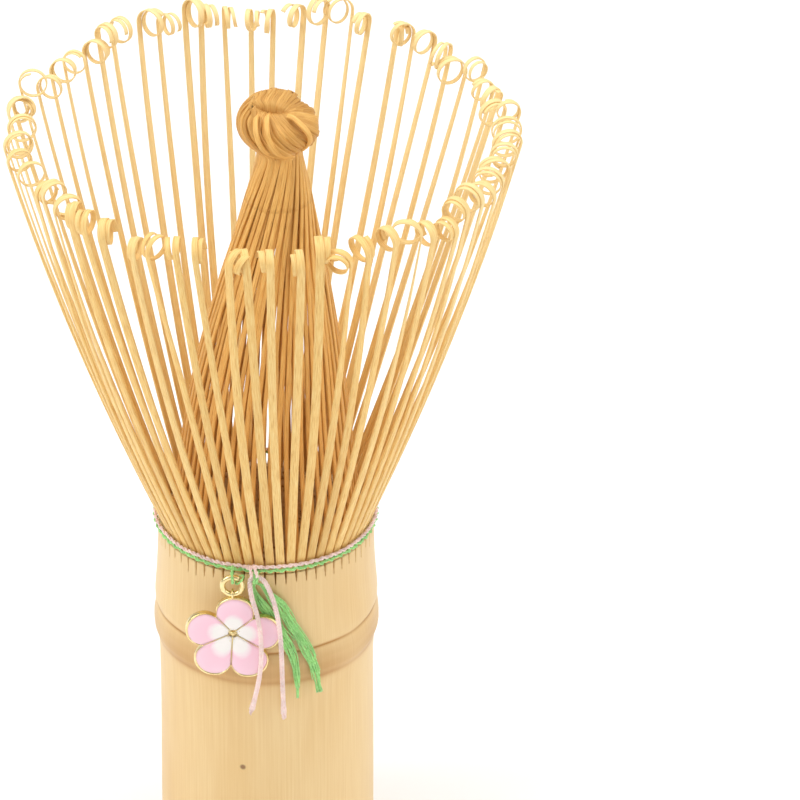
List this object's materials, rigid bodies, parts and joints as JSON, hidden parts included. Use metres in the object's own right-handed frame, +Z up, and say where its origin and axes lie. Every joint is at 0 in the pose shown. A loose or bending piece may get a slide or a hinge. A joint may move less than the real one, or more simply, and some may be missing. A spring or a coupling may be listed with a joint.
{
  "type": "bamboo tea whisk",
  "caption": "Bamboo tea whisk with curled outer tines round a knotted inner bundle, a two-colour thread binding, thread tails and a hanging blossom charm.",
  "frame": {"origin": "centre of the handle's base", "axes": "+Z up along the handle towards the tines; the charm hangs on the -Y side"},
  "size_m": [0.0698, 0.0698, 0.12],
  "materials": {
    "bamboo_culm": "smooth natural bamboo skin",
    "bamboo_outer": "split bamboo, satin",
    "bamboo_inner": "split bamboo, darker",
    "thread_pink": "soft twisted thread",
    "thread_green": "soft twisted thread",
    "gold": "polished pale gold plate",
    "enamel": "glossy pink enamel that pales to the middle"
  },
  "bodies": {
    "root": {"handle": "bamboo_culm", "inner_tines_01": "bamboo_inner", "inner_tines_02": "bamboo_inner", "inner_tines_03": "bamboo_inner", "inner_tines_04": "bamboo_inner", "inner_tines_05": "bamboo_inner", "inner_tines_06": "bamboo_inner", "inner_tines_07": "bamboo_inner", "inner_tines_08": "bamboo_inner", "inner_tines_09": "bamboo_inner", "inner_tines_10": "bamboo_inner", "inner_tines_11": "bamboo_inner", "inner_tines_12": "bamboo_inner", "inner_tines_13": "bamboo_inner", "inner_tines_14": "bamboo_inner", "inner_tines_15": "bamboo_inner", "inner_tines_16": "bamboo_inner", "inner_knot": "bamboo_inner", "binding_thread_pink": "thread_pink", "binding_thread_green": "thread_green", "binding_knot": "thread_green", "charm_loop": "thread_green"},
    "outer_section_01": {"outer_tines_01": "bamboo_outer"},
    "outer_section_02": {"outer_tines_02": "bamboo_outer"},
    "outer_section_03": {"outer_tines_03": "bamboo_outer"},
    "outer_section_04": {"outer_tines_04": "bamboo_outer"},
    "outer_section_05": {"outer_tines_05": "bamboo_outer"},
    "outer_section_06": {"outer_tines_06": "bamboo_outer"},
    "outer_section_07": {"outer_tines_07": "bamboo_outer"},
    "outer_section_08": {"outer_tines_08": "bamboo_outer"},
    "outer_section_09": {"outer_tines_09": "bamboo_outer"},
    "outer_section_10": {"outer_tines_10": "bamboo_outer"},
    "outer_section_11": {"outer_tines_11": "bamboo_outer"},
    "outer_section_12": {"outer_tines_12": "bamboo_outer"},
    "outer_section_13": {"outer_tines_13": "bamboo_outer"},
    "outer_section_14": {"outer_tines_14": "bamboo_outer"},
    "outer_section_15": {"outer_tines_15": "bamboo_outer"},
    "outer_section_16": {"outer_tines_16": "bamboo_outer"},
    "ring": {"jump_ring": "gold"},
    "charm": {"charm_plate": "gold", "petal_enamel_1": "enamel", "petal_enamel_2": "enamel", "petal_enamel_3": "enamel", "petal_enamel_4": "enamel", "petal_enamel_5": "enamel"},
    "tails": {"tails_pink": "thread_pink", "tails_green": "thread_green"}
  },
  "joints": [
    {"name": "section_01_flex", "type": "hinge", "parent": "root", "child": "outer_section_01", "pos_m": [0.01402, 0.00279, 0.0549], "axis": [-0.1951, 0.9808, 0], "range_deg": [-4, 7], "stiffness_Nm_per_rad": 0.006},
    {"name": "section_02_flex", "type": "hinge", "parent": "root", "child": "outer_section_02", "pos_m": [0.01189, 0.00795, 0.0549], "axis": [-0.5556, 0.8315, 0], "range_deg": [-4, 7], "stiffness_Nm_per_rad": 0.006},
    {"name": "section_03_flex", "type": "hinge", "parent": "root", "child": "outer_section_03", "pos_m": [0.00795, 0.01189, 0.0549], "axis": [-0.8315, 0.5556, 0], "range_deg": [-4, 7], "stiffness_Nm_per_rad": 0.006},
    {"name": "section_04_flex", "type": "hinge", "parent": "root", "child": "outer_section_04", "pos_m": [0.00279, 0.01402, 0.0549], "axis": [-0.9808, 0.1951, 0], "range_deg": [-4, 7], "stiffness_Nm_per_rad": 0.006},
    {"name": "section_05_flex", "type": "hinge", "parent": "root", "child": "outer_section_05", "pos_m": [-0.00279, 0.01402, 0.0549], "axis": [-0.9808, -0.1951, 0], "range_deg": [-4, 7], "stiffness_Nm_per_rad": 0.006},
    {"name": "section_06_flex", "type": "hinge", "parent": "root", "child": "outer_section_06", "pos_m": [-0.00795, 0.01189, 0.0549], "axis": [-0.8315, -0.5556, 0], "range_deg": [-4, 7], "stiffness_Nm_per_rad": 0.006},
    {"name": "section_07_flex", "type": "hinge", "parent": "root", "child": "outer_section_07", "pos_m": [-0.01189, 0.00795, 0.0549], "axis": [-0.5556, -0.8315, 0], "range_deg": [-4, 7], "stiffness_Nm_per_rad": 0.006},
    {"name": "section_08_flex", "type": "hinge", "parent": "root", "child": "outer_section_08", "pos_m": [-0.01402, 0.00279, 0.0549], "axis": [-0.1951, -0.9808, 0], "range_deg": [-4, 7], "stiffness_Nm_per_rad": 0.006},
    {"name": "section_09_flex", "type": "hinge", "parent": "root", "child": "outer_section_09", "pos_m": [-0.01402, -0.00279, 0.0549], "axis": [0.1951, -0.9808, 0], "range_deg": [-4, 7], "stiffness_Nm_per_rad": 0.006},
    {"name": "section_10_flex", "type": "hinge", "parent": "root", "child": "outer_section_10", "pos_m": [-0.01189, -0.00795, 0.0549], "axis": [0.5556, -0.8315, 0], "range_deg": [-4, 7], "stiffness_Nm_per_rad": 0.006},
    {"name": "section_11_flex", "type": "hinge", "parent": "root", "child": "outer_section_11", "pos_m": [-0.00795, -0.01189, 0.0549], "axis": [0.8315, -0.5556, 0], "range_deg": [-4, 7], "stiffness_Nm_per_rad": 0.006},
    {"name": "section_12_flex", "type": "hinge", "parent": "root", "child": "outer_section_12", "pos_m": [-0.00279, -0.01402, 0.0549], "axis": [0.9808, -0.1951, 0], "range_deg": [-4, 7], "stiffness_Nm_per_rad": 0.006},
    {"name": "section_13_flex", "type": "hinge", "parent": "root", "child": "outer_section_13", "pos_m": [0.00279, -0.01402, 0.0549], "axis": [0.9808, 0.1951, 0], "range_deg": [-4, 7], "stiffness_Nm_per_rad": 0.006},
    {"name": "section_14_flex", "type": "hinge", "parent": "root", "child": "outer_section_14", "pos_m": [0.00795, -0.01189, 0.0549], "axis": [0.8315, 0.5556, 0], "range_deg": [-4, 7], "stiffness_Nm_per_rad": 0.006},
    {"name": "section_15_flex", "type": "hinge", "parent": "root", "child": "outer_section_15", "pos_m": [0.01189, -0.00795, 0.0549], "axis": [0.5556, 0.8315, 0], "range_deg": [-4, 7], "stiffness_Nm_per_rad": 0.006},
    {"name": "section_16_flex", "type": "hinge", "parent": "root", "child": "outer_section_16", "pos_m": [0.01402, -0.00279, 0.0549], "axis": [0.1951, 0.9808, 0], "range_deg": [-4, 7], "stiffness_Nm_per_rad": 0.006},
    {"name": "ring_swing", "type": "hinge", "parent": "root", "child": "ring", "pos_m": [-0.00435, -0.01635, 0.054], "axis": [-1, 0, 0], "range_deg": [0, 150]},
    {"name": "charm_swing", "type": "hinge", "parent": "ring", "child": "charm", "pos_m": [-0.00435, -0.01635, 0.05265], "axis": [0, 1, 0], "range_deg": [-12, 40]},
    {"name": "tails_swing", "type": "hinge", "parent": "root", "child": "tails", "pos_m": [-0.00125, -0.01635, 0.054], "axis": [-1, 0, 0], "range_deg": [0, 150]}
  ],
  "couplings": [
    {"joint": "tails_swing", "follows": "ring_swing", "ratio": 1}
  ]
}
